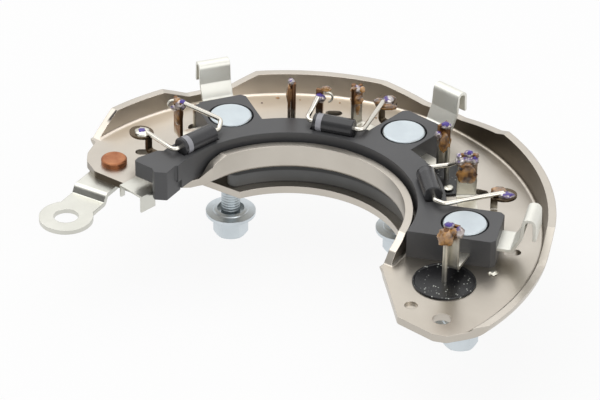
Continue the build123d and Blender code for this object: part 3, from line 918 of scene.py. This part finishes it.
def make_floor():
    """A wide pale floor under the nuts."""
    mesh = bpy.data.meshes.new("studio_floor")
    bm = bmesh.new()
    bmesh.ops.create_grid(bm, x_segments=1, y_segments=1, size=FLOOR_HALF)
    bmesh.ops.translate(bm, verts=bm.verts, vec=(0, 0, FLOOR_Z))
    bm.to_mesh(mesh)
    bm.free()
    floor = bpy.data.objects.new("studio_floor", mesh)
    bpy.context.collection.objects.link(floor)
    material, tree, shader = principled("pale_floor")
    shader.inputs["Base Color"].default_value = (0.82, 0.82, 0.82, 1)
    shader.inputs["Roughness"].default_value = 0.9
    shader.inputs["Specular IOR Level"].default_value = 0.1
    path = add(tree, "ShaderNodeLightPath")
    white = add(tree, "ShaderNodeEmission", Strength=1.0)
    both = add(tree, "ShaderNodeMixShader")
    join(tree, clear_rays(tree, path, FLOOR_WHITE), both.inputs["Fac"])
    join(tree, shader.outputs["BSDF"], both.inputs[1])
    join(tree, white.outputs["Emission"], both.inputs[2])
    join(tree, both.outputs["Shader"], tree.nodes["Material Output"].inputs["Surface"])
    mesh.materials.append(material)
    return floor


print("floor:", make_floor().name)

# %% [markdown]
# ## Sky
# The sky is plain white and lights the part softly. Mirror reflections alone see a
# darker side at the lower left, which gives the plated sheets their contrast.

# %% Sky
SKY_LEVEL = 0.62
DARK_SIDE = (-0.85, -0.42, 0.26)
DARK_AMOUNT = 0.85
DARK_EDGE = (0.72, 0.95)


def make_sky():
    """A white world with a dark side for mirror reflections."""
    world = bpy.data.worlds.new("studio")
    bpy.context.scene.world = world
    world.use_nodes = True
    tree = world.node_tree
    back = tree.nodes["Background"]
    back.inputs["Color"].default_value = (1, 1, 1, 1)
    path = add(tree, "ShaderNodeLightPath")
    level = ramp(tree, clear_rays(tree, path, 1.0), 0.0, 1.0, SKY_LEVEL, 1.0)
    way = add(tree, "ShaderNodeTexCoord").outputs["Object"]
    toward = vector_node(tree, "DOT_PRODUCT", way, Vector(DARK_SIDE).normalized())
    dimmed = ramp(tree, toward.outputs["Value"], *DARK_EDGE, 0.0, DARK_AMOUNT)
    shade = product(tree, dimmed, path.outputs["Is Glossy Ray"])
    join(tree, math_node(tree, "SUBTRACT", level, shade), back.inputs["Strength"])


make_sky()
print("sky level:", SKY_LEVEL)

# %% [markdown]
# ## Lamps
# Three large soft lamps: one above, one at the left and one at the front right.

# %% Lamps
LAMP_AIM = (0, 0.01, 0)


def softbox(name, place, size, power):
    """A square area lamp that looks at the part."""
    data = bpy.data.lights.new(name, "AREA")
    data.shape = "SQUARE"
    data.size = size
    data.energy = power
    lamp = bpy.data.objects.new(name, data)
    lamp.location = place
    lamp.rotation_mode = "QUATERNION"
    toward = Vector(LAMP_AIM) - Vector(place)
    lamp.rotation_quaternion = toward.to_track_quat("-Z", "Y")
    bpy.context.collection.objects.link(lamp)
    return lamp


softbox("top_light", (-0.15, 0.25, 0.85), 1.20, 3.6)
softbox("left_light", (-0.5, 0.1, 0.70), 0.80, 1.2)
softbox("front_right_light", (0.5, -0.62, 0.38), 0.60, 1.6)
print("lamps:", len(bpy.data.lights))

# %% [markdown]
# ## Camera
# The camera stands where the photographer's did: in front, about a third of the way
# up, and far off. Its place was fitted to the photograph.

# %% Camera
AIM = Vector((2.66, 11.54, 9.0)) * MM
ELEVATION = math.radians(32.65)
DISTANCE = 835.44 * MM
ROLL = math.radians(0.76)
LENS_MM, SENSOR_MM = 198.0, 36.0


def make_camera():
    """A long lens, rolled slightly."""
    data = bpy.data.cameras.new("camera")
    data.sensor_width = SENSOR_MM
    data.lens = LENS_MM
    data.clip_start = 0.01
    data.clip_end = 20.0
    camera = bpy.data.objects.new("camera", data)
    away = Vector((0, -math.cos(ELEVATION), math.sin(ELEVATION)))
    camera.location = AIM + away * DISTANCE
    camera.rotation_mode = "QUATERNION"
    look = (-away).to_track_quat("-Z", "Y")
    roll = Matrix.Rotation(ROLL, 4, "Z")
    camera.rotation_quaternion = (look.to_matrix().to_4x4() @ roll).to_quaternion()
    bpy.context.collection.objects.link(camera)
    bpy.context.scene.camera = camera
    return camera


print("camera:", make_camera().name)
bpy.context.scene.view_settings.view_transform = "Standard"
